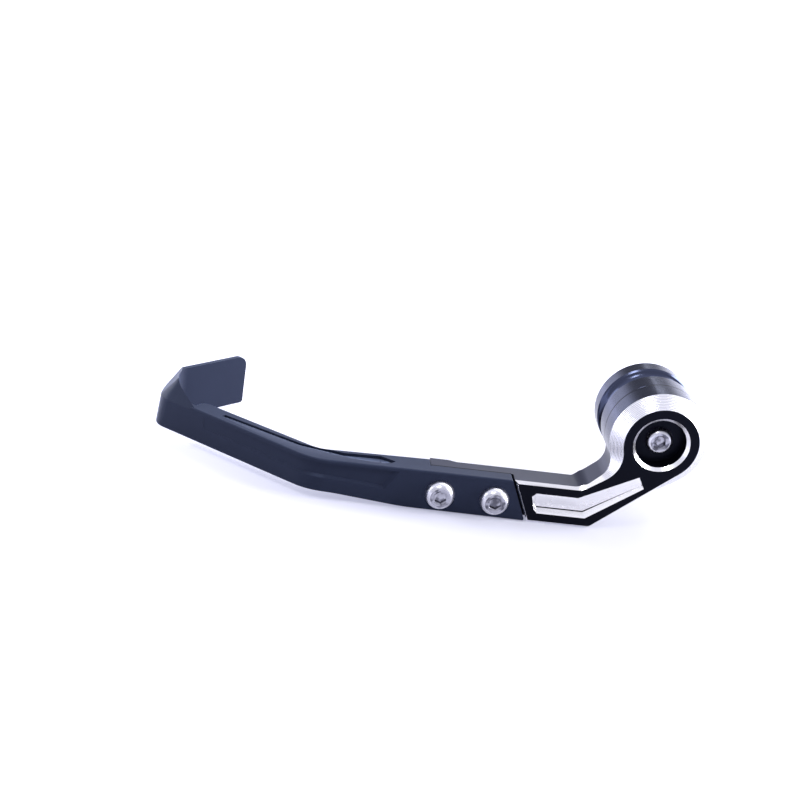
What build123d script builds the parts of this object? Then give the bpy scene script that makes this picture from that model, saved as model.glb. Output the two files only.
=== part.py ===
from build123d import *
import os
from math import cos, radians, sin, sqrt, tan

# Frame: origin on the bar axis at the spacer's rear face, X right, +Y into the bar, Z up.
# Sizes are in millimetres. A depth is measured back from the bracket's front face.

# Bracket ring
RING_R = 17.6
RING_FACE_R = 13.35
RING_THICKNESS = 12.6
RING_BEVEL_ANGLE = 45.0
RECESS_R = 9.0
RECESS_DEPTH = 5.0
RECESS_BEVEL = 1.1

# Bracket arm
ARM_TOP = -19.7
ARM_BOTTOM = -35.2
ARM_THICKNESS = 10.2
ARM_BEVEL = 0.95
SHOULDER_TOP_X = -48.2
SHOULDER_BOTTOM_X = -41.3
SHOULDER_BEVEL = 0.55
RELIEF_X = -23.5
RELIEF_RUN = 3.0

# Bracket neck and flank, each drawn once for the side wall and once for the front face
NECK_FOOT_X = -23.9
NECK_ANGLE = 41.7
NECK_REACH = 16.0
NECK_FOOT_BEND = 8.0
NECK_RING_BEND = 7.0
FACE_NECK_ANGLE = 36.1
FACE_NECK_REACH = 20.0
FACE_FOOT_BEND = 6.0
FACE_RING_BEND = 10.5
FLANK_ANGLE = 41.0
FLANK_BEVEL = 0.8
FLANK_RING_BEND = 5.0
ELBOW_BEND = 3.0
FACE_ELBOW_BEND = 2.0

# Bracket pocket, a V groove that turns the corner with the arm
POCKET_TOP = -23.63
POCKET_BOTTOM = -31.27
POCKET_DEPTH = 2.2
POCKET_VALLEY = 0.8
POCKET_LEFT_TOP_X = -39.8
POCKET_LEFT_LOW_X = -38.4
POCKET_END_RUN = 1.4
POCKET_END_DEPTH = 0.6
POCKET_TURN_TOP_X = -24.9
POCKET_TURN_LOW_X = -21.1
POCKET_TIP_TOP = (-5.0, -13.1)
POCKET_TIP_LOW = (-2.55, -17.3)
POCKET_TIP_DEPTH = 1.3

# Bracket tongue
TONGUE_END_X = -77.5
TONGUE_DEPTH = 5.3
TONGUE_PAD = 1.0
TONGUE_PAD_X = -71.0
TONGUE_PAD_RUN = 3.0

# Spacer collar
SPACER_LENGTH = 21.0
SPACER_R = 17.4
SPACER_BAND = 8.5
SPACER_FLANGE = 6.4
SPACER_COVE = 2.6
SPACER_BEVEL = 0.5

# Fasteners
BOLT_R = 2.5
BOLT_GRIP_R = 2.3
BOLT_LENGTH = 45.0
BOLT_HEAD_R = 4.75
BOLT_HEAD_H = 2.75
BOLT_FLAT_R = 3.4
SCREW_R = 3.0
SCREW_LENGTH = 10.0
SCREW_HEAD_R = 5.25
SCREW_HEAD_H = 3.3
SCREW_FLAT_R = 3.6
SCREW_X = (-73.65, -54.27)
SCREW_Z = -27.85
HEAD_RIM = 0.5
HEAD_CROWN = 0.3
SOCKET = 4.0
SOCKET_DEPTH = 1.8
SOCKET_TURN = 10.0
THREAD_TIP = 0.5

# Clearances
BOLT_CLEARANCE = 0.25
SCREW_CLEARANCE = 0.2
THREAD_CLEARANCE = 0.05
SHOULDER_GAP = 0.8
TONGUE_GAP = 0.2
CUT_PAST = 1.0

# Blade bar and swept limb
BAR_BOTTOM_SHOULDER = -35.0
BAR_BOTTOM_RISE = -34.6
BAR_BOTTOM = -32.1
BAR_RISE_X = -86.0
BAR_RISE_END_X = -112.0
BAR_RISE_BEND = 90.0
BAR_REAR_JOINT = 10.8
BAR_REAR_BEND = 9.5
BAR_EDGE = 0.9
BEND_X = -119.7
BEND_ANGLE = 35.5
BEND_FRONT_R = 20.0
BEND_REAR_X = -116.8
BEND_REAR_R = 10.0
LIMB_END = 53.6
LIMB_END_THICKNESS = 8.1
LIMB_END_BEND = 3.5

# Blade fold and paddle
FOLD_CORNER = 72.8
FOLD_R = 7.25
FOLD_LOW_R = 5.6
FOLD_INNER_R = 9.0
FOLD_LAP = 3.6
FOLD_LEAN = 19.5
RIB_LAP = 1.0
RIB_LENGTH = 7.4
RIB_THICKNESS = 3.0
PADDLE_ANGLE = 41.3
PADDLE_LENGTH = 43.3
PADDLE_THICKNESS = 2.4
PADDLE_TOP = -12.8
PADDLE_TOP_CORNER = 4.0
PADDLE_LOW_CORNER = 1.0
CREASE = -20.6
CREASE_LEAN = 40.0

# Blade top groove
GROOVE_DEPTH = 1.1
GROOVE_LIMB_DEPTH = 0.8
GROOVE_WIDTH = 2.05
GROOVE_TIP_FRONT = (-91.0, 4.0)
GROOVE_TIP_REAR = (-90.0, 5.2)
GROOVE_BAR_FRONT = (-95.6, 2.4)
GROOVE_BAR_REAR = (-95.0, 8.1)
GROOVE_MID_FRONT = (-106.0, 3.9)
GROOVE_MID_REAR = (-108.0, 7.4)
GROOVE_LIMB = (9.2, 5.05)
GROOVE_END = (41.3, 2.85)

# Blade front flute
FLUTE_DEPTH = 0.9
FLUTE_END_DEPTH = 0.05
FLUTE_TOP = -21.0
FLUTE_LIP = 0.9
FLUTE_RIGHT_X = -88.5
FLUTE_RIGHT_LOW = (-92.8, -28.7)
FLUTE_RIGHT_BEND = 3.0
FLUTE_RIGHT_SLOPE = 60.0
FLUTE_BEND_LOW = -26.5
FLUTE_END = 46.7
FLUTE_END_LOW = -25.5

# Limits that pick corners and edges: same size, and nearly level
SAME = 0.01
LEVEL = 0.5

FRONT = -(RING_THICKNESS + SPACER_LENGTH)
REAR = -2 * FRONT
SHOULDER_LEAN = (SHOULDER_BOTTOM_X - SHOULDER_TOP_X) / (ARM_TOP - ARM_BOTTOM)
JOINT_X = SHOULDER_BOTTOM_X + CUT_PAST


def plate(sketch, near, far, taper=0.0):
    """Extrude an X-Z sketch from one depth to another."""
    plane = Plane.XZ.offset(-(FRONT + near))
    return extrude(plane * sketch, amount=near - far, taper=taper)


def slab(sketch, low, high, taper=0.0):
    """Extrude an X-Y sketch from one height to another."""
    return extrude(Plane.XY.offset(low) * sketch, amount=high - low, taper=taper)


def outline(*points):
    """A closed straight-sided sketch."""
    return make_face(Polyline(*points, close=True))


def soften(sketch, point, radius):
    """Round the sketch's corner nearest to a point."""
    corner = sketch.vertices().sort_by_distance(Vector(*point))[0]
    return fillet(corner, radius)


def meet(p, p_heading, q, q_heading):
    """Crossing of two plan lines, each given by a point and a heading in degrees."""
    a = radians(p_heading)
    b = radians(q_heading)
    run = ((q[0] - p[0]) * sin(b) - (q[1] - p[1]) * cos(b)) / sin(b - a)
    return (p[0] + run * cos(a), p[1] + run * sin(a))


def behind(x, depth):
    """Plan point at an X and a depth."""
    return (x, FRONT + depth)


def limb(along, inward):
    """Plan point of the swept limb: along it from the bend, inward from its front face."""
    a = radians(BEND_ANGLE)
    x = BEND_X - along * cos(a) + inward * sin(a)
    y = FRONT + along * sin(a) + inward * cos(a)
    return (x, y)


def paddle(along, inward):
    """Plan point of the paddle: along it from the fold's outer corner, inward from its back."""
    a = radians(PADDLE_ANGLE)
    x, y = limb(FOLD_CORNER, 0.0)
    return (x + along * cos(a) + inward * sin(a), y + along * sin(a) - inward * cos(a))


def bracket_outline(ring_r, flank, bevel, shoulder, neck, bends):
    """Front view of the bracket: ring, neck, arm with its slanted shoulder, and flank.

    The side wall has no bevel. The front face is drawn in from it by a bevel at the arm and
    another at the shoulder, and the neck has its own angle and reach.
    """
    neck_angle, neck_reach = neck
    foot_bend, ring_bend, elbow_bend = bends
    f = radians(FLANK_ANGLE)
    n = radians(neck_angle)
    top = ARM_TOP - bevel
    bottom = ARM_BOTTOM + bevel
    inset = shoulder * sqrt(1 + SHOULDER_LEAN**2)
    shoulder_top = (SHOULDER_TOP_X + bevel * SHOULDER_LEAN + inset, top)
    shoulder_bottom = (SHOULDER_BOTTOM_X - bevel * SHOULDER_LEAN + inset, bottom)
    foot = (NECK_FOOT_X, top)
    crown = (NECK_FOOT_X + neck_reach * cos(n), top + neck_reach * sin(n))
    run = sqrt(ring_r**2 - flank**2)
    brow = (flank * sin(f) + run * cos(f), run * sin(f) - flank * cos(f))
    elbow = ((flank + bottom * cos(f)) / sin(f), bottom)
    arm = outline(shoulder_top, foot, crown, (0, 0), brow, elbow, shoulder_bottom)
    shape = arm + Circle(ring_r)
    shape = soften(shape, foot, foot_bend)
    shape = soften(shape, elbow, elbow_bend)
    on_ring = shape.vertices().filter_by(lambda v: abs(Vector(v).length - ring_r) < SAME)
    shape = fillet(on_ring.sort_by(Axis.X)[0], ring_bend)
    if run > 0:
        shape = soften(shape, brow, FLANK_RING_BEND)
    return shape


def tongue_plan():
    """Plan of the tongue, with the thicker pad at its free end."""
    pad_rear = ARM_THICKNESS + TONGUE_PAD
    return outline(
        behind(TONGUE_END_X, TONGUE_DEPTH),
        behind(JOINT_X, TONGUE_DEPTH),
        behind(JOINT_X, ARM_THICKNESS),
        behind(TONGUE_PAD_X + TONGUE_PAD_RUN, ARM_THICKNESS),
        behind(TONGUE_PAD_X, pad_rear),
        behind(TONGUE_END_X, pad_rear),
    )


def relief_plan():
    """Plan of the cut that makes the arm thinner than the ring, with a sloping end."""
    slope = RELIEF_RUN / (RING_THICKNESS - ARM_THICKNESS)
    return outline(
        behind(TONGUE_END_X, ARM_THICKNESS),
        behind(RELIEF_X - RELIEF_RUN, ARM_THICKNESS),
        behind(RELIEF_X + slope * CUT_PAST, RING_THICKNESS + CUT_PAST),
        behind(TONGUE_END_X, RING_THICKNESS + CUT_PAST),
    )


def pocket_section(top, low, depth):
    """Section of the pocket's cutter between a top and a low point of the front face."""
    valley_x = top[0] + (low[0] - top[0]) * POCKET_VALLEY
    valley_z = top[1] + (low[1] - top[1]) * POCKET_VALLEY
    return outline(
        (top[0], FRONT - CUT_PAST, top[1]),
        (top[0], FRONT, top[1]),
        (valley_x, FRONT + depth, valley_z),
        (low[0], FRONT, low[1]),
        (low[0], FRONT - CUT_PAST, low[1]),
    )


def pocket():
    """Cutter of the V pocket: a sloping end, the arm leg, the turn and the rising leg."""
    left_top = (POCKET_LEFT_TOP_X, POCKET_TOP)
    left_low = (POCKET_LEFT_LOW_X, POCKET_BOTTOM)
    end_top = (POCKET_LEFT_TOP_X - POCKET_END_RUN, POCKET_TOP - POCKET_END_RUN)
    end_low = (POCKET_LEFT_LOW_X - POCKET_END_RUN, POCKET_BOTTOM + POCKET_END_RUN)
    turn_top = (POCKET_TURN_TOP_X, POCKET_TOP)
    turn_low = (POCKET_TURN_LOW_X, POCKET_BOTTOM)
    sections = [
        pocket_section(end_top, end_low, POCKET_END_DEPTH),
        pocket_section(left_top, left_low, POCKET_DEPTH),
        pocket_section(turn_top, turn_low, POCKET_DEPTH),
        pocket_section(POCKET_TIP_TOP, POCKET_TIP_LOW, POCKET_TIP_DEPTH),
    ]
    return loft(sections, ruled=True)


def bracket():
    """Machined bracket: wide ring bevel, narrow arm bevel, V pocket, recess and tongue."""
    side = bracket_outline(
        RING_R,
        RING_FACE_R + FLANK_BEVEL,
        0.0,
        0.0,
        (NECK_ANGLE, NECK_REACH),
        (NECK_FOOT_BEND, NECK_RING_BEND, ELBOW_BEND),
    )
    face = bracket_outline(
        RING_FACE_R,
        RING_FACE_R,
        ARM_BEVEL,
        SHOULDER_BEVEL,
        (FACE_NECK_ANGLE, FACE_NECK_REACH),
        (FACE_FOOT_BEND, FACE_RING_BEND, FACE_ELBOW_BEND),
    )
    bevel_depth = (RING_R - RING_FACE_R) / tan(radians(RING_BEVEL_ANGLE))
    body = plate(face, 0.0, bevel_depth, taper=-RING_BEVEL_ANGLE) & plate(side, 0.0, bevel_depth)
    body += plate(side, bevel_depth, RING_THICKNESS)
    body -= slab(relief_plan(), ARM_BOTTOM - CUT_PAST, ARM_TOP + CUT_PAST)
    body += slab(tongue_plan(), ARM_BOTTOM, ARM_TOP)
    body -= pocket()
    body -= plate(Circle(RECESS_R), 0.0, RECESS_DEPTH)
    front_edges = body.edges().filter_by(GeomType.CIRCLE).group_by(Axis.Y)[0]
    body = chamfer(front_edges.filter_by(lambda e: abs(e.radius - RECESS_R) < SAME), RECESS_BEVEL)
    body -= plate(Circle(BOLT_R + BOLT_CLEARANCE), 0.0, RING_THICKNESS)
    for x in SCREW_X:
        body -= plate(Pos(x, SCREW_Z) * Circle(SCREW_R + THREAD_CLEARANCE), 0.0, RING_THICKNESS)
    return body


def spacer():
    """Turned collar: front band, cove groove and rear flange on a through bore."""
    bore = BOLT_R + BOLT_CLEARANCE
    rim = SPACER_R - SPACER_BEVEL
    front = -SPACER_LENGTH
    cove_front = front + SPACER_BAND
    cove_rear = -SPACER_FLANGE
    band = Polyline(
        (bore, 0),
        (bore, front),
        (rim, front),
        (SPACER_R, front + SPACER_BEVEL),
        (SPACER_R, cove_front - SPACER_BEVEL),
        (rim, cove_front),
    )
    cove = ThreePointArc(
        (rim, cove_front), (SPACER_R - SPACER_COVE, (cove_front + cove_rear) / 2), (rim, cove_rear)
    )
    flange = Polyline(
        (rim, cove_rear),
        (SPACER_R, cove_rear + SPACER_BEVEL),
        (SPACER_R, -SPACER_BEVEL),
        (rim, 0),
        (bore, 0),
    )
    return revolve(make_face([band, cove, flange]), Axis.Y)


def button_screw(shank_r, length, head_r, head_h, flat_r):
    """Button head screw on the Y axis, its head's underside at Y 0 and its end at +Y."""
    middle = ((flat_r + head_r) / 2 + HEAD_CROWN, -(head_h + HEAD_RIM) / 2 - HEAD_CROWN)
    crown = ThreePointArc((flat_r, -head_h), middle, (head_r, -HEAD_RIM))
    shank = Polyline(
        (head_r, -HEAD_RIM),
        (head_r, 0),
        (shank_r, 0),
        (shank_r, length - THREAD_TIP),
        (shank_r - THREAD_TIP, length),
        (0, length),
        (0, -head_h),
        (flat_r, -head_h),
    )
    body = revolve(make_face([crown, shank]), Axis.Y)
    key = RegularPolygon(SOCKET / 2, 6, major_radius=False, rotation=SOCKET_TURN)
    return body - extrude(Plane.XZ.offset(head_h) * key, amount=-SOCKET_DEPTH)


def bar_plan():
    """Plan of the bar and the swept limb up to the limb's square end."""
    bend = behind(BEND_X, 0.0)
    rear_bend = behind(BEND_REAR_X, BAR_REAR_BEND)
    end_rear = limb(LIMB_END, LIMB_END_THICKNESS)
    plan = outline(
        behind(JOINT_X, 0.0),
        bend,
        limb(LIMB_END, 0.0),
        end_rear,
        rear_bend,
        behind(TONGUE_END_X, BAR_REAR_JOINT),
        behind(JOINT_X, BAR_REAR_JOINT),
    )
    plan = soften(plan, bend, BEND_FRONT_R)
    plan = soften(plan, rear_bend, BEND_REAR_R)
    return soften(plan, end_rear, LIMB_END_BEND)


def bar_side():
    """Side view of the bar: level top, underside that rises towards the limb, slanted end."""
    left = limb(FOLD_CORNER, 0.0)[0]
    rise = (BAR_RISE_X, BAR_BOTTOM_RISE)
    rise_end = (BAR_RISE_END_X, BAR_BOTTOM)
    side = outline(
        (left, ARM_TOP),
        (SHOULDER_TOP_X - SHOULDER_GAP, ARM_TOP),
        (SHOULDER_BOTTOM_X - SHOULDER_GAP, BAR_BOTTOM_SHOULDER),
        rise,
        rise_end,
        (left, BAR_BOTTOM),
    )
    side = soften(side, rise, BAR_RISE_BEND)
    return soften(side, rise_end, BAR_RISE_BEND)


def bar():
    """The bar and limb, with rounded long edges and without their grooves."""
    body = slab(bar_plan(), ARM_BOTTOM, ARM_TOP) & plate(bar_side(), 0.0, REAR)
    level = body.edges().filter_by(lambda e: abs(e.tangent_at().Z) < LEVEL)
    return fillet(level.filter_by(lambda e: e.length > LIMB_END_BEND), BAR_EDGE)


def fold_plan(radius):
    """Plan of the folded wall: outer face, tight fold, paddle and leaning inner face."""
    start = limb(LIMB_END - FOLD_LAP, 0.0)
    corner = limb(FOLD_CORNER, 0.0)
    inner = meet(start, 180 - BEND_ANGLE - FOLD_LEAN, paddle(0.0, PADDLE_THICKNESS), PADDLE_ANGLE)
    plan = outline(
        start, corner, paddle(PADDLE_LENGTH, 0.0), paddle(PADDLE_LENGTH, PADDLE_THICKNESS), inner
    )
    plan = soften(plan, corner, radius)
    return soften(plan, inner, FOLD_INNER_R)


def rib_plan():
    """Plan of the thicker wall between the limb's end and the fold."""
    start = LIMB_END - RIB_LAP
    end = start + RIB_LENGTH
    return outline(
        limb(start, 0.0), limb(end, 0.0), limb(end, RIB_THICKNESS), limb(start, RIB_THICKNESS)
    )


def crease_block():
    """Block that leans in above the crease, along the limb's front and the fold's left side."""
    turn = 180 - BEND_ANGLE - PADDLE_ANGLE
    centre = limb(FOLD_CORNER - FOLD_R * tan(radians(turn / 2)), FOLD_R)
    left = centre[0] - FOLD_R
    bend = limb(0.0, 0.0)
    corner = meet(bend, 180 - BEND_ANGLE, (left, 0.0), 90)
    plan = outline((0.0, FRONT), (0.0, REAR), (left, REAR), corner, bend)
    plan = soften(plan, corner, FOLD_R)
    return slab(plan, CREASE, PADDLE_TOP, taper=CREASE_LEAN)


def fold():
    """Folded wall and paddle: upright below the crease, leaning in above it."""
    low_plan = Plane.XY.offset(BAR_BOTTOM) * fold_plan(FOLD_LOW_R)
    crease_plan = Plane.XY.offset(CREASE) * fold_plan(FOLD_R)
    below = loft([low_plan, crease_plan], ruled=True) + slab(rib_plan(), BAR_BOTTOM, CREASE)
    above = slab(fold_plan(FOLD_R), CREASE, PADDLE_TOP) + slab(rib_plan(), CREASE, ARM_TOP)
    wall = below + (above & crease_block())
    tip = paddle(PADDLE_LENGTH, PADDLE_THICKNESS / 2)
    rounds = (
        ((*tip, PADDLE_TOP), PADDLE_TOP_CORNER),
        ((*tip, BAR_BOTTOM), PADDLE_LOW_CORNER),
        ((*paddle(PADDLE_LENGTH / 2, 0.0), PADDLE_TOP), BAR_EDGE),
    )
    for point, radius in rounds:
        edge = wall.edges().sort_by_distance(Vector(*point))[0]
        wall = fillet(edge, radius)
    return wall


def groove_section(front, rear, depth):
    """Section of the groove's cutter: a ramp down from its front edge to an upright rear wall."""
    high = ARM_TOP + CUT_PAST
    return outline((*front, high), (*front, ARM_TOP), (*rear, ARM_TOP - depth), (*rear, high))


def groove():
    """Cutter of the top groove: a wide ramp at the bar that narrows along the limb to a round end."""
    bend_along, bend_in = GROOVE_LIMB
    end_along, end_in = GROOVE_END
    end = limb(end_along, end_in + GROOVE_WIDTH / 2)
    sections = [
        groove_section(behind(*GROOVE_TIP_FRONT), behind(*GROOVE_TIP_REAR), GROOVE_DEPTH),
        groove_section(behind(*GROOVE_BAR_FRONT), behind(*GROOVE_BAR_REAR), GROOVE_DEPTH),
        groove_section(behind(*GROOVE_MID_FRONT), behind(*GROOVE_MID_REAR), GROOVE_DEPTH),
        groove_section(
            limb(bend_along, bend_in), limb(bend_along, bend_in + GROOVE_WIDTH), GROOVE_LIMB_DEPTH
        ),
        groove_section(
            limb(end_along, end_in), limb(end_along, end_in + GROOVE_WIDTH), GROOVE_LIMB_DEPTH
        ),
    ]
    round_end = slab(
        Pos(*end) * Circle(GROOVE_WIDTH / 2), ARM_TOP - GROOVE_LIMB_DEPTH, ARM_TOP + CUT_PAST
    )
    return loft(sections, ruled=True) + round_end


def flute_section(place, depth, low):
    """Section of the flute's cutter: flat floor, and a lower wall that slopes out to the face."""
    shape = (
        (-CUT_PAST, FLUTE_TOP),
        (depth, FLUTE_TOP),
        (depth, low + FLUTE_LIP * depth / FLUTE_DEPTH),
        (0.0, low),
        (-CUT_PAST, low),
    )
    return outline(*[(*place(inward), z) for inward, z in shape])


def flute():
    """Cutter of the shallow flute: along the bar, round the bend and out along the limb."""
    run = BEND_FRONT_R * tan(radians(BEND_ANGLE / 2))
    turn_x = BEND_X + run
    right_x, right_low = FLUTE_RIGHT_LOW
    right = flute_section(lambda u: behind(FLUTE_RIGHT_X, u), FLUTE_DEPTH, right_low)
    turn = flute_section(lambda u: behind(turn_x, u), FLUTE_DEPTH, FLUTE_BEND_LOW)
    leave = flute_section(lambda u: limb(run, u), FLUTE_DEPTH, FLUTE_BEND_LOW)
    end = flute_section(lambda u: limb(FLUTE_END, u), FLUTE_END_DEPTH, FLUTE_END_LOW)
    lean = (FLUTE_RIGHT_X - right_x) / (FLUTE_TOP - right_low)
    high = FLUTE_TOP + FLUTE_RIGHT_BEND
    past = CUT_PAST * tan(radians(FLUTE_RIGHT_SLOPE))
    corner = (right_x + past - FLUTE_RIGHT_BEND * lean, right_low - FLUTE_RIGHT_BEND)
    window = outline(
        (BEND_X, high),
        (BEND_X, right_low - FLUTE_RIGHT_BEND),
        corner,
        (FLUTE_RIGHT_X + past + FLUTE_RIGHT_BEND * lean, high),
    )
    window = soften(window, corner, FLUTE_RIGHT_BEND)
    bar_part = loft([right, turn], ruled=True) & plate(window, -CUT_PAST, FLUTE_DEPTH, FLUTE_RIGHT_SLOPE)
    pivot = Axis((*behind(turn_x, BEND_FRONT_R), 0.0), (0, 0, -1))
    return bar_part + revolve(turn, pivot, BEND_ANGLE) + loft([leave, end], ruled=True)


def blade():
    """Moulded guard: bar, limb, fold and paddle in one solid, rebated for the tongue."""
    body = bar() + fold()
    rebate = outline(
        behind(TONGUE_END_X - TONGUE_GAP, TONGUE_DEPTH),
        behind(JOINT_X, TONGUE_DEPTH),
        behind(JOINT_X, RING_THICKNESS),
        behind(TONGUE_END_X - TONGUE_GAP, RING_THICKNESS),
    )
    body -= slab(rebate, ARM_BOTTOM, ARM_TOP + CUT_PAST)
    body -= groove()
    body -= flute()
    for x in SCREW_X:
        body -= plate(Pos(x, SCREW_Z) * Circle(SCREW_R + SCREW_CLEARANCE), -CUT_PAST, TONGUE_DEPTH)
    return body


def centre_bolt():
    """Bolt seated in the recess, with a reduced grip up to the spacer's rear face."""
    body = Pos(0, FRONT + RECESS_DEPTH, 0) * button_screw(
        BOLT_R, BOLT_LENGTH, BOLT_HEAD_R, BOLT_HEAD_H, BOLT_FLAT_R
    )
    waist = Circle(BOLT_R + BOLT_CLEARANCE) - Circle(BOLT_GRIP_R)
    return body - plate(waist, RECESS_DEPTH, -FRONT)


screw = button_screw(SCREW_R, SCREW_LENGTH, SCREW_HEAD_R, SCREW_HEAD_H, SCREW_FLAT_R)

NODES = {
    "guard_blade": blade(),
    "bar_end_bracket": bracket(),
    "spacer_collar": spacer(),
    "centre_bolt": centre_bolt(),
    "blade_screws": Compound(children=[Pos(x, FRONT, SCREW_Z) * screw for x in SCREW_X]),
}

os.makedirs("parts", exist_ok=True)
for node, shape in NODES.items():
    export_step(shape, os.path.join("parts", node + ".step"))
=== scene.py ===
"""Brake lever guard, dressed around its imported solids. Laid out as an add-on and run as a script."""

from collections import namedtuple
from math import cos, pi, radians, tan

import bpy
from bpy.props import FloatProperty, FloatVectorProperty, PointerProperty
from mathutils import Matrix, Vector


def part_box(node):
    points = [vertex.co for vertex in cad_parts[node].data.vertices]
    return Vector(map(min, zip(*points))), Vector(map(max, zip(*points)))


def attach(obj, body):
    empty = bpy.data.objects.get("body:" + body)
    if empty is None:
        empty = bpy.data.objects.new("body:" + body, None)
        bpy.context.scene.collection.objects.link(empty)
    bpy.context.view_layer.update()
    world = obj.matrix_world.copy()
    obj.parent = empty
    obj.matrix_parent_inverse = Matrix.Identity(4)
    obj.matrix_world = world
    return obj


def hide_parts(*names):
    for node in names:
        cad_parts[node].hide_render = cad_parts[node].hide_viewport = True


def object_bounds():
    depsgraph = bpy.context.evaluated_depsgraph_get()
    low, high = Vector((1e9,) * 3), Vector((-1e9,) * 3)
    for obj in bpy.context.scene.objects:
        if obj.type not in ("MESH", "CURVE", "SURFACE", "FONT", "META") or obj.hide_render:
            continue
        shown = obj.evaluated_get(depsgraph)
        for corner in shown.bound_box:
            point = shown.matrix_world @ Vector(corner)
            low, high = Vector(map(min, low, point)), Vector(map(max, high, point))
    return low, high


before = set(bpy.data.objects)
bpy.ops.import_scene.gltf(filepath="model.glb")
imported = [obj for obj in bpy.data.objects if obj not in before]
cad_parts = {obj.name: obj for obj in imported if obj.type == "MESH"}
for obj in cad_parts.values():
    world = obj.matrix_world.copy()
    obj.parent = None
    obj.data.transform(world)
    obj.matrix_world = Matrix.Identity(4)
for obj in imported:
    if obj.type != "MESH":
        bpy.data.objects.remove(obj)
CAD_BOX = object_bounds()

bl_info = {
    "name": "Brake lever guard",
    "version": (1, 0, 0),
    "blender": (4, 5, 0),
    "location": "View3D > Sidebar > Lever guard",
    "description": "Moulded blade, machined bracket, turned collar and button head screws",
    "category": "Object",
}

# A button head: its radius, its flat's radius, its height, and the radius and reach of its shank
Head = namedtuple("Head", "radius flat height shank reach")
Lamp = namedtuple("Lamp", "name place size power")

MM = 0.001
BRACKET_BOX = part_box("bar_end_bracket")
BOLT_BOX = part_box("centre_bolt")
SCREW_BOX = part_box("blade_screws")
FRONT = BRACKET_BOX[0].y
FLOOR = CAD_BOX[0].z

# Meshes: points this near are merged, faces this flat are joined, and edges up to this angle shade smooth
MERGE = 0.001 * MM
FLAT = radians(0.01)
SMOOTH = radians(25)

# Blade: its rim is made of the outer edges above RIM_LOW, over the limb's top, that pass RIM_SHARP
RIM_LOW = -20.0 * MM
RIM_SHARP = radians(30)
RIM_STEPS = 3

# Bracket: its material slots in order
# The dyed slot also carries the painted shade lines, in the gaps and in the pocket's valley
DYED_AND_SHADE, LINED, WALL, CHAMFER, PLAIN, TURNED = range(6)
# A normal that points forward by more than FACING is a front face's, by less than SIDEWAYS a side wall's,
# and between the two a slope's. One that points up by more than UPWARD is a top face's.
FACING = 0.985
SIDEWAYS = 0.3
UPWARD = 0.9
# Faces nearer the bar axis than RECESS_LIMIT are the recess's, and those farther than ARM_LIMIT the arm's
RECESS_LIMIT = 11.0 * MM
ARM_LIMIT = 24.0 * MM
# The ring's wall lies within RING_FIT of the ring's radius
RING_R = BRACKET_BOX[1].z
RING_FIT = 0.1 * MM
# On top the blade starts to the left of BLADE_X, and to the left of TONGUE_X the bracket is all tongue
BLADE_X = -49.0 * MM
TONGUE_X = -55.0 * MM
# The pocket ends left of POCKET_TIP_X, and its rising part lies below a line with this rise and level
POCKET_TIP_X = -2.5 * MM
POCKET_RISE = 0.53
POCKET_LEVEL = -10.2 * MM
# The pocket's two slopes meet at an edge that is sharper than this
VALLEY_SHARP = radians(60)
# How strongly the cutter's lines show on the ring's cone, and on the arm's edge and in its pocket
RING_LINES = 0.75
ARM_LINES = 0.06

# Button heads: the slot of the forged finish, after the polished one, and sizes that bolt and screws share
FORGED = 1
HEAD_RIM = 0.5 * MM
HEAD_CROWN = 0.3 * MM
CROWN_STEPS = 8
SHANK_CHAMFER = 0.5 * MM
HEAD_STEPS = 64
HEAD_SHARP = radians(35)
HEAD_SMOOTH = radians(28)
EDGE_STEPS = 2
SINK_SLOPE = radians(30)
SOCKET_SIDES = 6
SOCKET_TURN = radians(10)
# The socket's cutters stand this far out of the head
CUTTER_OVER = 0.5 * MM

# Centre bolt: its head sits on the recess's floor, and its thread starts at the bar's end face, at Y zero.
# There the grip reaches into the thread, and the thread into the spacer, by their laps.
RECESS_DEPTH = 5.0 * MM
BOLT_SEAT = FRONT + RECESS_DEPTH
BOLT_END = BOLT_BOX[1].y
GRIP_LAP = 0.2 * MM
BOLT = Head(
    radius=4.75 * MM, flat=3.4 * MM, height=2.75 * MM, shank=2.3 * MM, reach=GRIP_LAP - BOLT_SEAT
)
THREAD_R = 2.5 * MM
THREAD_LAP = 0.05 * MM
THREAD_CHAMFER = 0.5 * MM
THREAD_STEPS = 40
THREAD_MERGE = 0.002 * MM
# One turn of the thread: whether each point is on the crest, and its share of the pitch
THREAD_FORM = ((False, 0.0), (False, 0.12), (True, 0.45), (True, 0.57), (False, 0.9), (False, 1.0))
# Turns that are wound past both ends of the thread and trimmed off
SPARE_TURNS = 5

# Blade screws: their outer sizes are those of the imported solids
SCREW = Head(
    radius=(SCREW_BOX[1].z - SCREW_BOX[0].z) / 2, flat=3.6 * MM, height=FRONT - SCREW_BOX[0].y,
    shank=3.0 * MM, reach=SCREW_BOX[1].y - FRONT,
)

# Floor, in metres: it glows less near a spot below the arm, given in the floor's own frame,
# so that the shadow shows there
FLOOR_SIZE = 8.0
FLOOR_SPOT = (-0.01, -0.04, FLOOR)
FLOOR_GLOW = {"From Min": 0.05, "From Max": 0.42, "To Min": 0.4, "To Max": 2.0}

# World: its light on dull surfaces, its level for the camera, and what metal mirrors of it,
# which has a dark patch up behind the guard and grows brighter from front to back
WORLD_LIGHT = 0.3
WORLD_SEEN = 1.0
PATCH_HEADING = (0.05, 0.79, 0.61)
PATCH_LEVEL = {"From Min": 0.8, "From Max": 0.94, "To Min": 1.0, "To Max": 0.2}
REAR_LEVEL = {"From Min": -0.5, "From Max": 0.9, "To Min": 0.95, "To Max": 2.1}

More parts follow.
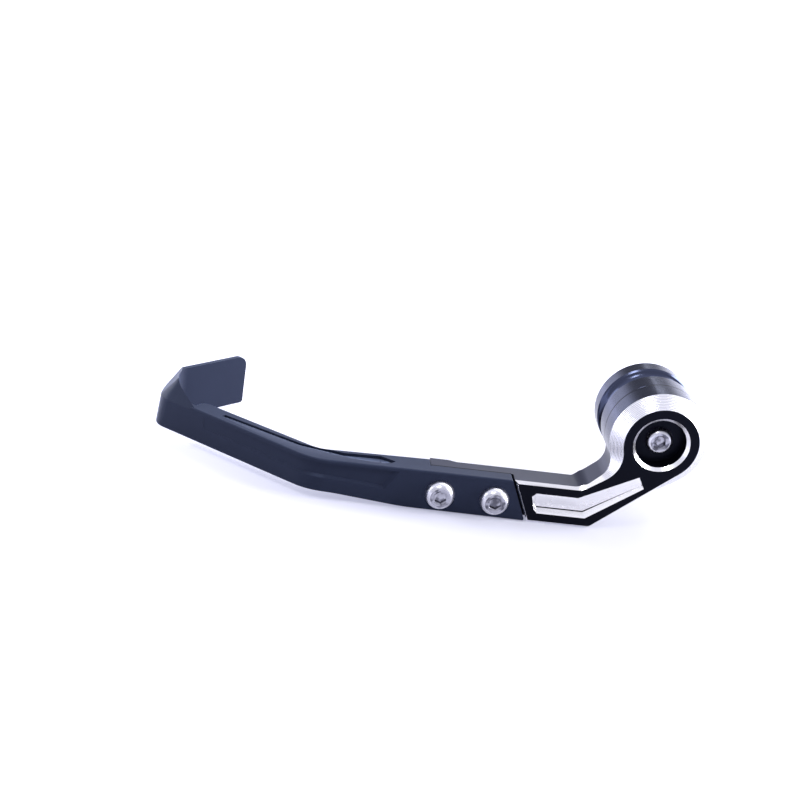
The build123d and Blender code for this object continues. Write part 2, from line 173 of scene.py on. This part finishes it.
# Lamps, in metres and watts, all aimed at one point near the bracket
LAMPS = (
    Lamp("back_softbox", (0.3, 0.5, 0.75), 0.8, 6.5),
    Lamp("key_lamp", (-0.25, -0.38, 0.68), 0.16, 1.4),
    Lamp("side_softbox", (0.8, 0.0, 0.35), 0.6, 19.0),
    Lamp("left_softbox", (-0.47, 0.11, 0.09), 0.3, 1.1),
)
LAMP_AIM = Vector((-0.05, 0.0, 0.0))

# Camera: its lens, where it stands, and its directions to the right and ahead
SENSOR_WIDTH = 36.0
LENS = 64.8
CLIP_START = 0.01
EYE = Vector((-148.49, -477.59, 195.18)) * MM
RIGHT = Vector((0.9868, -0.0597, 0.1504))
AHEAD = Vector((0.1147, 0.9137, -0.3898))


def linear(colour):
    """The linear colour of an sRGB hex value."""
    parts = [int(colour[i : i + 2], 16) / 255 for i in (1, 3, 5)]
    return [p / 12.92 if p <= 0.04045 else ((p + 0.055) / 1.055) ** 2.4 for p in parts] + [1.0]


def length(name, description, millimetres):
    """A size that is shown as a length."""
    return FloatProperty(
        name=name, description=description, default=millimetres * MM, unit="LENGTH", precision=5
    )


def tint(name, description, colour):
    """A colour with its default as a hex value."""
    return FloatVectorProperty(
        name=name, description=description, default=linear(colour), size=4, subtype="COLOR", min=0, max=1
    )


class GuardSizes(bpy.types.PropertyGroup):
    """Sizes of the patterns and details that the solids leave plain."""

    # Grain, blast and cutters' lines are finer on a real part, and are drawn as coarse as they need to show
    grain: length("Nylon grain", "Size of the moulded grain", 0.45)
    flow: length("Nylon flow", "Size of the flow marks in the nylon", 25.0)
    blast: length("Blast grain", "Size of the grain on the dyed faces", 0.3)
    side_mark: length("Side mill marks", "Length of the marks on the side walls", 3.0)
    mill_pitch: length("Milling pitch", "Distance between the lines of the bright cuts", 0.4)
    dull_spot: length("Dull spots", "Size of the duller spots of the bright cuts", 4.0)
    turn_pitch: length("Turning pitch", "Distance between the collar's turned lines", 0.22)
    tumble: length("Tumbling marks", "Size of the waves in the polished steel", 1.5)
    # Painted reflection: size of the dark blotches that stand in for the reflections in the heads' flats
    # and sockets
    reflection_blotch: length("Forging blotches", "Size of the blotches on the forged steel", 2.6)
    soft_edge: length("Moulded edge", "Radius along the rim of the fold and the paddle", 0.3)
    # Painted shade: half width of the dark line drawn in the pocket's valley
    valley_shade: length("Pocket valley", "Half width of the dark line in the pocket's valley", 0.28)
    # Painted shade: width of the dark band that stands in for the shade in the gaps at the ring's rear edge
    # and along the tongue's top by the blade
    seam: length("Seam", "Width of the dark seam where a piece meets the bracket", 0.5)
    socket: length("Socket", "Width of the hex socket across its flats", 4.0)
    socket_depth: length("Socket depth", "Depth of the hex socket", 1.8)
    countersink: length("Socket countersink", "Radius of the countersink round the socket", 2.75)
    screw_edge: length("Screw edge", "Radius along the screws' edges", 0.12)
    thread_pitch: length("Thread pitch", "Pitch of the bolt's thread", 0.8)
    thread_depth: length("Thread depth", "Depth of the bolt's thread", 0.48)


class GuardColours(bpy.types.PropertyGroup):
    """Colours of the finishes."""

    nylon: tint("Nylon", "Moulded blade", "#282d40")
    nylon_pale: tint("Nylon, pale", "Paler flow marks of the blade", "#2e3449")
    nylon_sheen: tint("Nylon gloss", "Tint of the blade's gloss", "#a9bbe8")
    anodised: tint("Anodised face", "Dyed front faces of the bracket", "#06070f")
    anodised_side: tint("Anodised side", "Dyed side walls of the bracket", "#2a2d3e")
    anodised_gloss: tint("Anodised gloss", "Tint of the bracket's gloss", "#c2c9f0")
    bright: tint("Bright cut", "Cut faces of the bracket", "#efeeef")
    bright_line: tint("Cutter line", "Lines that the cutter left in the bright faces", "#c0c1d0")
    collar: tint("Collar", "Dyed collar and ring wall", "#41465a")
    steel: tint("Stainless steel", "Polished domes of the screws and bolt", "#cdcdd4")
    forged: tint("Forged steel", "Flats and sockets of the screws and bolt", "#a8a8b2")
    # Painted reflection: colour of the dark blotches in the heads' flats and sockets
    forged_dark_reflection: tint("Forged steel, dark", "Dark marks of the forging", "#5c5c66")
    paper: tint("Backdrop", "Paper of the floor", "#b4b4bc")
    shade: tint("Backdrop shade", "Tint left where the object shades the floor", "#e2e4ff")
    sky: tint("Background", "Background of the picture", "#ffffff")
    sky_mirrored: tint("Background, mirrored", "Background as the metal mirrors it", "#ecedfb")


def alone(piece):
    """Make a piece the only selected and the active object."""
    bpy.ops.object.select_all(action="DESELECT")
    piece.select_set(True)
    bpy.context.view_layer.objects.active = piece


def edit(piece):
    """Enter edit mode on a piece with all of it selected."""
    alone(piece)
    bpy.ops.object.mode_set(mode="EDIT")
    bpy.ops.mesh.select_mode(type="VERT")
    bpy.ops.mesh.select_all(action="SELECT")


def done():
    """Leave edit mode."""
    bpy.ops.object.mode_set(mode="OBJECT")


def pick(piece, kind, chosen):
    """Enter edit mode on a piece with its chosen faces or edges selected."""
    edit(piece)
    bpy.ops.mesh.select_mode(type=kind)
    bpy.ops.mesh.select_all(action="DESELECT")
    done()
    for part in piece.data.polygons if kind == "FACE" else piece.data.edges:
        part.select = chosen(part)
    bpy.ops.object.mode_set(mode="EDIT")


def added(name):
    """Name the object that was just added."""
    piece = bpy.context.object
    piece.name = name
    piece.data.name = name
    return piece


def modify(piece, kind, **settings):
    """Add a modifier and apply it."""
    alone(piece)
    modifier = piece.modifiers.new(kind.title(), kind)
    for name, value in settings.items():
        setattr(modifier, name, value)
    bpy.ops.object.modifier_apply(modifier=modifier.name)


def cut(piece, cutter, operation="DIFFERENCE"):
    """Combine a piece with a cutter, which is used up."""
    modify(piece, "BOOLEAN", object=cutter, operation=operation, solver="EXACT")
    bpy.data.objects.remove(cutter)


def smooth(piece, angle):
    """Shade a piece smooth up to an angle between its faces."""
    alone(piece)
    bpy.ops.object.shade_smooth_by_angle(angle=angle)


def copy_of(node, name):
    """A merged copy of a CAD node, to be dressed in its place."""
    piece = bpy.data.objects.new(name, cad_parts[node].data.copy())
    bpy.context.scene.collection.objects.link(piece)
    piece.data.name = name
    piece.data.materials.clear()
    alone(piece)
    bpy.ops.mesh.customdata_custom_splitnormals_clear()
    edit(piece)
    bpy.ops.mesh.remove_doubles(threshold=MERGE)
    bpy.ops.mesh.dissolve_limited(angle_limit=FLAT)
    done()
    return piece


def swept(name, profile, steps, pitch=0.0, turns=1):
    """Turn a profile of radius and height round Z, or wind it into a thread."""
    bpy.ops.object.select_all(action="DESELECT")
    radius, height = profile[0]
    bpy.ops.mesh.primitive_plane_add(size=1.0, location=(radius, 0, height))
    piece = added(name)
    bpy.ops.object.transform_apply(location=True)
    edit(piece)
    bpy.ops.mesh.merge(type="CENTER")
    for r, h in profile[1:]:
        step = (r - radius, 0, h - height)
        bpy.ops.mesh.extrude_region_move(TRANSFORM_OT_translate={"value": step})
        radius, height = r, h
    done()
    modify(
        piece, "SCREW", axis="Z", steps=steps, render_steps=steps, screw_offset=pitch, iterations=turns,
        use_merge_vertices=True, merge_threshold=MERGE,
    )
    edit(piece)
    bpy.ops.mesh.remove_doubles(threshold=MERGE)
    if pitch:
        bpy.ops.mesh.fill_holes(sides=0)
    bpy.ops.mesh.normals_make_consistent(inside=False)
    done()
    return piece


def stand_forward(piece, place):
    """Turn a piece that was made along Z to face the front, and put it in its place."""
    alone(piece)
    piece.rotation_euler = (pi / 2, 0, 0)
    piece.location = place
    bpy.ops.object.transform_apply(location=True, rotation=True, scale=True)


def dress(piece, node, slot, *materials):
    """Give a piece its finishes, and let it stand for a CAD node."""
    for material in materials:
        piece.data.materials.append(material)
    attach(piece, "root")
    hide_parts(node)


def paint(piece, index, chosen):
    """Give the chosen faces of a piece the finish in one of its slots."""
    pick(piece, "FACE", chosen)
    piece.active_material_index = index
    bpy.ops.object.material_slot_assign()
    done()


def bevel(piece, chosen, **settings):
    """Bevel the chosen edges of a piece."""
    pick(piece, "EDGE", chosen)
    bpy.ops.mesh.bevel(affect="EDGES", **settings)
    done()


def slice_at(piece, place, normal):
    """Part the faces of a piece along a plane."""
    edit(piece)
    bpy.ops.mesh.bisect(plane_co=place, plane_no=normal)
    done()


def edge_faces(piece):
    """The faces on either side of each edge of a piece."""
    faces = {}
    for face in piece.data.polygons:
        for key in face.edge_keys:
            faces.setdefault(key, []).append(face)
    return faces


def is_slope(face):
    """True for a face that leans back from the front face."""
    return -FACING < face.normal.y < -SIDEWAYS


def off_axis(face):
    """How far a face's centre lies from the bar axis."""
    return face.center.xz.length


def add(tree, kind, links=None, **settings):
    """Add a shader node with its settings, and with values or other sockets in its inputs."""
    made = tree.nodes.new(kind)
    for name, value in settings.items():
        setattr(made, name, value)
    for socket, value in (links or {}).items():
        if isinstance(value, bpy.types.NodeSocket):
            tree.links.new(value, made.inputs[socket])
        else:
            made.inputs[socket].default_value = value
    return made


def finish(name, surface, **settings):
    """The one material of that name, laid out anew with the shader that a surface function gives."""
    scene = bpy.context.scene
    material = bpy.data.materials.get(name) or bpy.data.materials.new(name)
    material.use_nodes = True
    tree = material.node_tree
    tree.nodes.clear()
    place = add(tree, "ShaderNodeTexCoord").outputs["Object"]
    shader = surface(tree, place, scene.guard_sizes, scene.guard_colours, **settings)
    add(tree, "ShaderNodeOutputMaterial", {"Surface": shader.outputs[0]})
    return material


def grained(tree, pattern, rough, strength, depth):
    """Shader inputs whose roughness and relief both follow one pattern."""
    low, high = rough
    dull = add(tree, "ShaderNodeMapRange", {"Value": pattern, "To Min": low, "To Max": high})
    bump = add(tree, "ShaderNodeBump", {"Height": pattern, "Strength": strength, "Distance": depth})
    return {"Roughness": dull.outputs["Result"], "Normal": bump.outputs["Normal"]}


def cutter_lines(tree, place, pitch):
    """A wave along Y, with one crest for each pass of a cutter."""
    depth = add(tree, "ShaderNodeSeparateXYZ", {"Vector": place}).outputs["Y"]
    turns = add(tree, "ShaderNodeMath", {0: depth, 1: 2 * pi / pitch}, operation="MULTIPLY")
    return add(tree, "ShaderNodeMath", {0: turns.outputs[0]}, operation="SINE").outputs[0]


def moulded_nylon(tree, place, sizes, colours):
    """Glass filled nylon from a fine-grained mould: satin, with soft flow marks and a dull grain."""
    flow = add(tree, "ShaderNodeTexNoise", {"Vector": place, "Scale": 1 / sizes.flow, "Detail": 3.0})
    grain = add(tree, "ShaderNodeTexNoise", {"Vector": place, "Scale": 1 / sizes.grain, "Detail": 4.0})
    colour = add(
        tree, "ShaderNodeMix", {"Factor": flow.outputs["Fac"], "A": colours.nylon, "B": colours.nylon_pale},
        data_type="RGBA",
    )
    return add(
        tree, "ShaderNodeBsdfPrincipled",
        {
            "Base Color": colour.outputs["Result"],
            "IOR": 1.34,
            "Specular IOR Level": 0.3,
            "Specular Tint": colours.nylon_sheen,
            "Sheen Weight": 0.7,
            "Sheen Roughness": 0.3,
            "Sheen Tint": colours.nylon_sheen,
            **grained(tree, grain.outputs["Fac"], rough=(0.3, 0.4), strength=0.25, depth=0.05 * MM),
        },
    )


def black_anodised(tree, place, sizes, colours):
    """Aluminium blasted and dyed black in the anodising bath: deep and even, with a close sheen."""
    blast = add(tree, "ShaderNodeTexNoise", {"Vector": place, "Scale": 1 / sizes.blast, "Detail": 3.0})
    return add(
        tree, "ShaderNodeBsdfPrincipled",
        {
            "Base Color": colours.anodised,
            "IOR": 1.5,
            "Specular IOR Level": 0.1,
            "Specular Tint": colours.anodised_gloss,
            **grained(tree, blast.outputs["Fac"], rough=(0.28, 0.38), strength=0.15, depth=0.02 * MM),
        },
    )


def satin_anodised(tree, place, sizes, colours):
    """Dyed aluminium side walls as the side mill left them: greyer than the face, satin in the light.

    The mill's marks run along the wall and are many times narrower across it, along Y.
    """
    narrower = (1.0, 12.0, 1.0)
    drawn = add(tree, "ShaderNodeMapping", {"Vector": place, "Scale": narrower}, vector_type="POINT")
    marks = add(
        tree, "ShaderNodeTexNoise",
        {"Vector": drawn.outputs["Vector"], "Scale": 1 / sizes.side_mark, "Detail": 3.0},
    )
    return add(
        tree, "ShaderNodeBsdfPrincipled",
        {
            "Base Color": colours.anodised_side,
            "IOR": 1.5,
            "Specular Tint": colours.anodised_gloss,
            **grained(tree, marks.outputs["Fac"], rough=(0.25, 0.4), strength=0.2, depth=0.02 * MM),
        },
    )


def bright_cut(tree, place, sizes, colours, line=0.0):
    """Bare aluminium where the cutter went through the black: bright, with a line left by each pass.

    The passes follow the edge, so each line lies at one depth below the front face. The given share
    says how strongly the lines show.
    """
    spots = add(tree, "ShaderNodeTexNoise", {"Vector": place, "Scale": 1 / sizes.dull_spot, "Detail": 2.0})
    rough = add(
        tree, "ShaderNodeMapRange", {"Value": spots.outputs["Fac"], "To Min": 0.2, "To Max": 0.32}
    )
    inputs = {"Base Color": colours.bright, "Metallic": 1.0, "Roughness": rough.outputs["Result"]}
    if line:
        wave = cutter_lines(tree, place, sizes.mill_pitch)
        share = add(tree, "ShaderNodeMapRange", {"Value": wave, "From Min": -1.0, "To Max": line})
        colour = add(
            tree, "ShaderNodeMix",
            {"Factor": share.outputs["Result"], "A": colours.bright, "B": colours.bright_line},
            data_type="RGBA",
        )
        bump = add(tree, "ShaderNodeBump", {"Height": wave, "Strength": line, "Distance": 0.03 * MM})
        inputs["Base Color"] = colour.outputs["Result"]
        inputs["Normal"] = bump.outputs["Normal"]
    return add(tree, "ShaderNodeBsdfPrincipled", inputs)


def turned_anodised(tree, place, sizes, colours):
    """Turned aluminium dyed black: fine rings left by the lathe break its reflections across the axis."""
    wave = cutter_lines(tree, place, sizes.turn_pitch)
    bump = add(tree, "ShaderNodeBump", {"Height": wave, "Strength": 0.15, "Distance": 0.01 * MM})
    return add(
        tree, "ShaderNodeBsdfPrincipled",
        {
            "Base Color": colours.collar,
            "Metallic": 1.0,
            "Roughness": 0.2,
            "Normal": bump.outputs["Normal"],
        },
    )


def polished_steel(tree, place, sizes, colours):
    """Stainless steel tumbled to a polish: bright, with soft reflections and a faint waviness."""
    waves = add(tree, "ShaderNodeTexNoise", {"Vector": place, "Scale": 1 / sizes.tumble, "Detail": 3.0})
    return add(
        tree, "ShaderNodeBsdfPrincipled",
        {
            "Base Color": colours.steel,
            "Metallic": 1.0,
            **grained(tree, waves.outputs["Fac"], rough=(0.22, 0.34), strength=0.2, depth=0.05 * MM),
        },
    )


def forged_steel(tree, place, sizes, colours):
    """Stainless steel as the header struck it: grey with a soft sheen, and dark blotches painted in for the
    dark reflections in the flats and sockets.
    """
    reflection_blotch = add(tree, "ShaderNodeTexNoise", {"Vector": place, "Scale": 1 / sizes.reflection_blotch, "Detail": 1.0})
    share = add(
        tree, "ShaderNodeMapRange",
        {"Value": reflection_blotch.outputs["Fac"], "From Min": 0.45, "From Max": 0.65},
        interpolation_type="SMOOTHSTEP",
    )
    colour = add(
        tree, "ShaderNodeMix",
        {"Factor": share.outputs["Result"], "A": colours.forged, "B": colours.forged_dark_reflection},
        data_type="RGBA",
    )
    bump = add(
        tree, "ShaderNodeBump", {"Height": reflection_blotch.outputs["Fac"], "Strength": 0.6, "Distance": 0.4 * MM}
    )
    return add(
        tree, "ShaderNodeBsdfPrincipled",
        {
            "Base Color": colour.outputs["Result"],
            "Metallic": 1.0,
            "Roughness": 0.2,
            "Normal": bump.outputs["Normal"],
        },
    )


def seen_rays(tree):
    """Two sockets: the first is 1 for rays that see or mirror a backdrop, the second for mirrored ones."""
    path = add(tree, "ShaderNodeLightPath")
    mirrored = path.outputs["Is Glossy Ray"]
    seen = path.outputs["Is Camera Ray"]
    for ray in (mirrored, path.outputs["Is Transmission Ray"]):
        seen = add(tree, "ShaderNodeMath", {0: seen, 1: ray}, operation="MAXIMUM").outputs[0]
    return seen, mirrored


def backdrop_paper(tree, place, sizes, colours):
    """Matt white paper: it keeps the object's shadow, and glows to the eye into the white background."""
    seen = seen_rays(tree)[0]
    far = add(tree, "ShaderNodeVectorMath", {0: place, 1: FLOOR_SPOT}, operation="DISTANCE")
    level = add(tree, "ShaderNodeMapRange", {"Value": far.outputs["Value"], **FLOOR_GLOW})
    glow = add(tree, "ShaderNodeMath", {0: seen, 1: level.outputs["Result"]}, operation="MULTIPLY")
    matt = add(tree, "ShaderNodeBsdfDiffuse", {"Color": colours.paper})
    light = add(tree, "ShaderNodeEmission", {"Color": colours.shade, "Strength": glow.outputs[0]})
    return add(tree, "ShaderNodeAddShader", {0: matt.outputs[0], 1: light.outputs[0]})


def button_head(name, head, sizes):
    """Button head with a countersunk hex socket, on a plain shank that reaches back from the head."""
    profile = [
        (0.0, -head.reach),
        (head.shank - SHANK_CHAMFER, -head.reach),
        (head.shank, SHANK_CHAMFER - head.reach),
        (head.shank, 0.0),
        (head.radius, 0.0),
        (head.radius, HEAD_RIM),
    ]
    for i in range(1, CROWN_STEPS):
        t = i / CROWN_STEPS
        bulge = 4 * t * (1 - t) * HEAD_CROWN
        radius = head.radius + (head.flat - head.radius) * t + bulge
        profile.append((radius, HEAD_RIM + (head.height - HEAD_RIM) * t + bulge))
    profile += [(head.flat, head.height), (0.0, head.height)]
    piece = swept(name, profile, HEAD_STEPS)

    half_socket = sizes.socket / 2
    top = head.height + CUTTER_OVER
    sink_low = head.height - (sizes.countersink - half_socket) * tan(SINK_SLOPE)
    bpy.ops.object.select_all(action="DESELECT")
    bpy.ops.mesh.primitive_cone_add(
        vertices=HEAD_STEPS,
        radius1=half_socket,
        radius2=half_socket + (top - sink_low) / tan(SINK_SLOPE),
        depth=top - sink_low,
        location=(0, 0, (top + sink_low) / 2),
    )
    cut(piece, added("countersink"))
    low = head.height - sizes.socket_depth
    bpy.ops.object.select_all(action="DESELECT")
    bpy.ops.mesh.primitive_cylinder_add(
        vertices=SOCKET_SIDES,
        radius=half_socket / cos(pi / SOCKET_SIDES),
        depth=top - low,
        location=(0, 0, (top + low) / 2),
        rotation=(0, 0, SOCKET_TURN),
    )
    cut(piece, added("hex_key"))
    modify(
        piece, "BEVEL", width=sizes.screw_edge, segments=EDGE_STEPS, limit_method="ANGLE",
        angle_limit=HEAD_SHARP,
    )
    smooth(piece, HEAD_SMOOTH)

    def struck(face):
        inside = face.center.xy.length < head.flat - 2 * sizes.screw_edge
        return inside and face.center.z > low - sizes.screw_edge

    piece.data.materials.append(finish("polished_stainless_steel", polished_steel))
    piece.data.materials.append(finish("forged_stainless_steel", forged_steel))
    paint(piece, FORGED, struck)
    return piece


class BladeOperator(bpy.types.Operator):
    """Round the moulded blade's rim and give it its grain"""

    bl_idname = "guard.blade"
    bl_label = "Moulded blade"

    def execute(self, context):
        piece = copy_of("guard_blade", "moulded_blade")
        self.round_rim(piece, context.scene.guard_sizes)
        smooth(piece, SMOOTH)
        modify(piece, "WEIGHTED_NORMAL", keep_sharp=True)
        dress(piece, "guard_blade", "black_nylon", finish("moulded_nylon", moulded_nylon))
        return {"FINISHED"}

    def round_rim(self, piece, sizes):
        """Round the sharp rim of the fold and the paddle, above the limb's top."""
        sides = edge_faces(piece)
        corners = piece.data.vertices

        def rim(edge):
            a, b = sides[edge.key]
            out = (b.center - a.center).dot(a.normal) < 0
            high = min(corners[v].co.z for v in edge.vertices) > RIM_LOW
            return high and out and a.normal.angle(b.normal) > RIM_SHARP

        bevel(piece, rim, offset=sizes.soft_edge, segments=RIM_STEPS, clamp_overlap=True)


class BracketOperator(bpy.types.Operator):
    """Part the bracket's dyed faces from those that are cut bright"""

    bl_idname = "guard.bracket"
    bl_label = "Machined bracket"

    def execute(self, context):
        sizes = context.scene.guard_sizes
        piece = copy_of("bar_end_bracket", "machined_bracket")
        smooth(piece, SMOOTH)
        dress(
            piece, "bar_end_bracket", "black_anodised_bracket",
            finish("black_anodised_aluminium", black_anodised),
            finish("bright_cut_aluminium", bright_cut, line=RING_LINES),
            finish("satin_anodised_aluminium", satin_anodised),
            finish("bright_turned_aluminium", bright_cut),
            finish("bright_pocket_aluminium", bright_cut, line=ARM_LINES),
            finish("turned_anodised_aluminium", turned_anodised),
        )
        self.paint_faces(piece, sizes)
        self.paint_valley_shade(piece, sizes)
        modify(piece, "WEIGHTED_NORMAL", keep_sharp=True)
        return {"FINISHED"}

    def paint_faces(self, piece, sizes):
        """Part the faces where the painted shade begins, and give each kind of face its finish; the painted
        shade gets the dark dyed one.
        """
        # The painted shade covers the rear band of the ring's wall and a strip of the tongue's top along
        # the blade
        ring_shade_edge = BRACKET_BOX[1].y - sizes.seam
        tongue_front = min(corner.co.y for corner in piece.data.vertices if corner.co.x < TONGUE_X)
        tongue_shade_edge = tongue_front + sizes.seam
        slice_at(piece, (0, ring_shade_edge, 0), (0, 1, 0))
        slice_at(piece, (0, tongue_shade_edge, 0), (0, 1, 0))
        slice_at(piece, (BLADE_X, 0, 0), (1, 0, 0))

        def wall(face):
            return abs(face.normal.y) < SIDEWAYS and off_axis(face) > RECESS_LIMIT

        def chamfer(face):
            return face.material_index == LINED and off_axis(face) < RECESS_LIMIT

        def plain(face):
            on_arm = off_axis(face) > ARM_LIMIT or self.in_pocket(face.center)
            return face.material_index == LINED and on_arm

        def ring_wall(face):
            return face.material_index == WALL and abs(off_axis(face) - RING_R) < RING_FIT

        # Painted shade: these faces are dyed dark in place of the shade in the gaps to the collar and to
        # the blade
        def seam(face):
            at_ring = face.material_index == TURNED and face.center.y > ring_shade_edge
            on_tongue = face.center.x < BLADE_X and face.center.y < tongue_shade_edge
            return at_ring or (on_tongue and face.normal.z > UPWARD)

        paint(piece, LINED, is_slope)
        paint(piece, WALL, wall)
        paint(piece, CHAMFER, chamfer)
        paint(piece, PLAIN, plain)
        paint(piece, TURNED, ring_wall)
        paint(piece, DYED_AND_SHADE, seam)

    def in_pocket(self, place):
        """True below the pocket's rising upper edge, up to the pocket's tip."""
        return place.x < POCKET_TIP_X and place.z < POCKET_RISE * place.x + POCKET_LEVEL

    def paint_valley_shade(self, piece, sizes):
        """Paint shade along the pocket's valley as a dark dyed line, where its two slopes meet at a steep
        angle.
        """
        sides = edge_faces(piece)

        def steep(edge):
            a, b = sides[edge.key]
            return is_slope(a) and is_slope(b) and a.normal.angle(b.normal) > VALLEY_SHARP

        bevel(piece, steep, offset=sizes.valley_shade, segments=1, material=DYED_AND_SHADE, loop_slide=False)


class CollarOperator(bpy.types.Operator):
    """Give the turned collar its dyed finish"""

    bl_idname = "guard.collar"
    bl_label = "Turned collar"

    def execute(self, context):
        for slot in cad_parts["spacer_collar"].material_slots:
            slot.material = finish("turned_anodised_aluminium", turned_anodised)
        return {"FINISHED"}


class BoltOperator(bpy.types.Operator):
    """Model the centre bolt with its socket and the thread of its free end"""

    bl_idname = "guard.bolt"
    bl_label = "Centre bolt"

    def execute(self, context):
        sizes = context.scene.guard_sizes
        piece = button_head("centre_bolt_dressed", BOLT, sizes)
        cut(piece, self.wind_thread(sizes), "UNION")
        edit(piece)
        bpy.ops.mesh.remove_doubles(threshold=THREAD_MERGE)
        done()
        smooth(piece, HEAD_SMOOTH)
        stand_forward(piece, (0, BOLT_SEAT, 0))
        dress(piece, "centre_bolt", "stainless_bolt")
        return {"FINISHED"}

    def wind_thread(self, sizes):
        """The thread below the head, trimmed to a chamfered end and to the bar's end face."""
        pitch = sizes.thread_pitch
        root = THREAD_R - sizes.thread_depth
        end = BOLT_SEAT - BOLT_END
        start = BOLT_SEAT + THREAD_LAP
        form = [(THREAD_R if crest else root, pitch * along) for crest, along in THREAD_FORM]
        thread = swept("thread", form, THREAD_STEPS, pitch, int(BOLT_END / pitch) + SPARE_TURNS)
        alone(thread)
        thread.location = (0, 0, end - SPARE_TURNS / 2 * pitch)
        bpy.ops.object.transform_apply(location=True)
        outline = [
            (0.0, end),
            (THREAD_R - THREAD_CHAMFER, end),
            (THREAD_R + THREAD_CHAMFER, end + 2 * THREAD_CHAMFER),
            (THREAD_R + THREAD_CHAMFER, start),
            (0.0, start),
        ]
        cut(thread, swept("envelope", outline, THREAD_STEPS), "INTERSECT")
        return thread


class ScrewsOperator(bpy.types.Operator):
    """Model one blade screw and copy it to the other hole"""

    bl_idname = "guard.screws"
    bl_label = "Blade screws"

    def execute(self, context):
        screw = button_head("blade_screw_outer", SCREW, context.scene.guard_sizes)
        low, high = SCREW_BOX
        height = (low.z + high.z) / 2
        alone(screw)
        bpy.ops.object.duplicate()
        second = added("blade_screw_inner")
        stand_forward(screw, (low.x + SCREW.radius, FRONT, height))
        stand_forward(second, (high.x - SCREW.radius, FRONT, height))
        dress(screw, "blade_screws", "stainless_screws")
        dress(second, "blade_screws", "stainless_screws")
        return {"FINISHED"}


class StageOperator(bpy.types.Operator):
    """Set the floor, the soft lights and the camera"""

    bl_idname = "guard.stage"
    bl_label = "Studio stage"

    def execute(self, context):
        scene = context.scene
        scene.view_settings.view_transform = "Standard"
        self.lay_floor()
        self.light_world(scene)
        self.hang_lamps(scene)
        self.stand_camera(scene)
        return {"FINISHED"}

    def lay_floor(self):
        """Lay the paper floor under the object."""
        bpy.ops.object.select_all(action="DESELECT")
        bpy.ops.mesh.primitive_plane_add(size=FLOOR_SIZE, location=(0, 0, FLOOR))
        floor = added("floor")
        floor.data.materials.append(finish("backdrop_paper", backdrop_paper))

    def light_world(self, scene):
        """Surround the object with a white background that metal mirrors in soft levels."""
        colours = scene.guard_colours
        scene.world = bpy.data.worlds.new("studio")
        scene.world.use_nodes = True
        tree = scene.world.node_tree
        tree.nodes.clear()
        seen, mirrored = seen_rays(tree)
        heading = add(tree, "ShaderNodeTexCoord").outputs["Generated"]
        towards = add(tree, "ShaderNodeVectorMath", {0: heading, 1: PATCH_HEADING}, operation="DOT_PRODUCT")
        patch = add(
            tree, "ShaderNodeMapRange", {"Value": towards.outputs["Value"], **PATCH_LEVEL},
            interpolation_type="SMOOTHSTEP",
        )
        back = add(tree, "ShaderNodeSeparateXYZ", {"Vector": heading}).outputs["Y"]
        rear = add(tree, "ShaderNodeMapRange", {"Value": back, **REAR_LEVEL})
        mirror = add(
            tree, "ShaderNodeMath",
            {0: patch.outputs["Result"], 1: rear.outputs["Result"]}, operation="MULTIPLY",
        )
        level = add(
            tree, "ShaderNodeMix", {"Factor": mirrored, "A": WORLD_SEEN, "B": mirror.outputs[0]},
            data_type="FLOAT",
        )
        strength = add(
            tree, "ShaderNodeMix", {"Factor": seen, "A": WORLD_LIGHT, "B": level.outputs["Result"]},
            data_type="FLOAT",
        )
        colour = add(
            tree, "ShaderNodeMix", {"Factor": mirrored, "A": colours.sky, "B": colours.sky_mirrored},
            data_type="RGBA",
        )
        sky = add(
            tree, "ShaderNodeBackground",
            {"Color": colour.outputs["Result"], "Strength": strength.outputs["Result"]},
        )
        add(tree, "ShaderNodeOutputWorld", {"Surface": sky.outputs[0]})

    def hang_lamps(self, scene):
        """Hang the soft lamps around the object."""
        for lamp in LAMPS:
            light = bpy.data.lights.new(lamp.name, "AREA")
            light.size = lamp.size
            light.energy = lamp.power
            held = bpy.data.objects.new(lamp.name, light)
            scene.collection.objects.link(held)
            held.location = lamp.place
            held.rotation_euler = (LAMP_AIM - held.location).to_track_quat("-Z", "Y").to_euler()

    def stand_camera(self, scene):
        """Stand the camera in front of the object, a little above it."""
        camera = bpy.data.objects.new("camera", bpy.data.cameras.new("camera"))
        scene.collection.objects.link(camera)
        camera.data.sensor_width = SENSOR_WIDTH
        camera.data.lens = LENS
        camera.data.clip_start = CLIP_START
        ahead = AHEAD.normalized()
        up = RIGHT.cross(ahead).normalized()
        right = ahead.cross(up).normalized()
        turn = Matrix((right, up, -ahead)).transposed().to_4x4()
        camera.matrix_world = Matrix.Translation(EYE) @ turn
        scene.camera = camera


class GuardPanel(bpy.types.Panel):
    """Sizes, colours and steps of the lever guard"""

    bl_idname = "VIEW3D_PT_lever_guard"
    bl_label = "Lever guard"
    bl_space_type = "VIEW_3D"
    bl_region_type = "UI"
    bl_category = "Lever guard"

    def draw(self, context):
        for group in (context.scene.guard_sizes, context.scene.guard_colours):
            box = self.layout.box()
            for name in group.__annotations__:
                box.prop(group, name)
        for step in STEPS:
            self.layout.operator(step.bl_idname)


STEPS = (StageOperator, BladeOperator, BracketOperator, CollarOperator, BoltOperator, ScrewsOperator)
CLASSES = (GuardSizes, GuardColours, *STEPS, GuardPanel)


def register():
    for kind in CLASSES:
        bpy.utils.register_class(kind)
    bpy.types.Scene.guard_sizes = PointerProperty(type=GuardSizes)
    bpy.types.Scene.guard_colours = PointerProperty(type=GuardColours)


def unregister():
    del bpy.types.Scene.guard_colours
    del bpy.types.Scene.guard_sizes
    for kind in reversed(CLASSES):
        bpy.utils.unregister_class(kind)


def main():
    register()
    bpy.ops.guard.stage()
    bpy.ops.guard.blade()
    bpy.ops.guard.bracket()
    bpy.ops.guard.collar()
    bpy.ops.guard.bolt()
    bpy.ops.guard.screws()


if __name__ == "__main__":
    main()
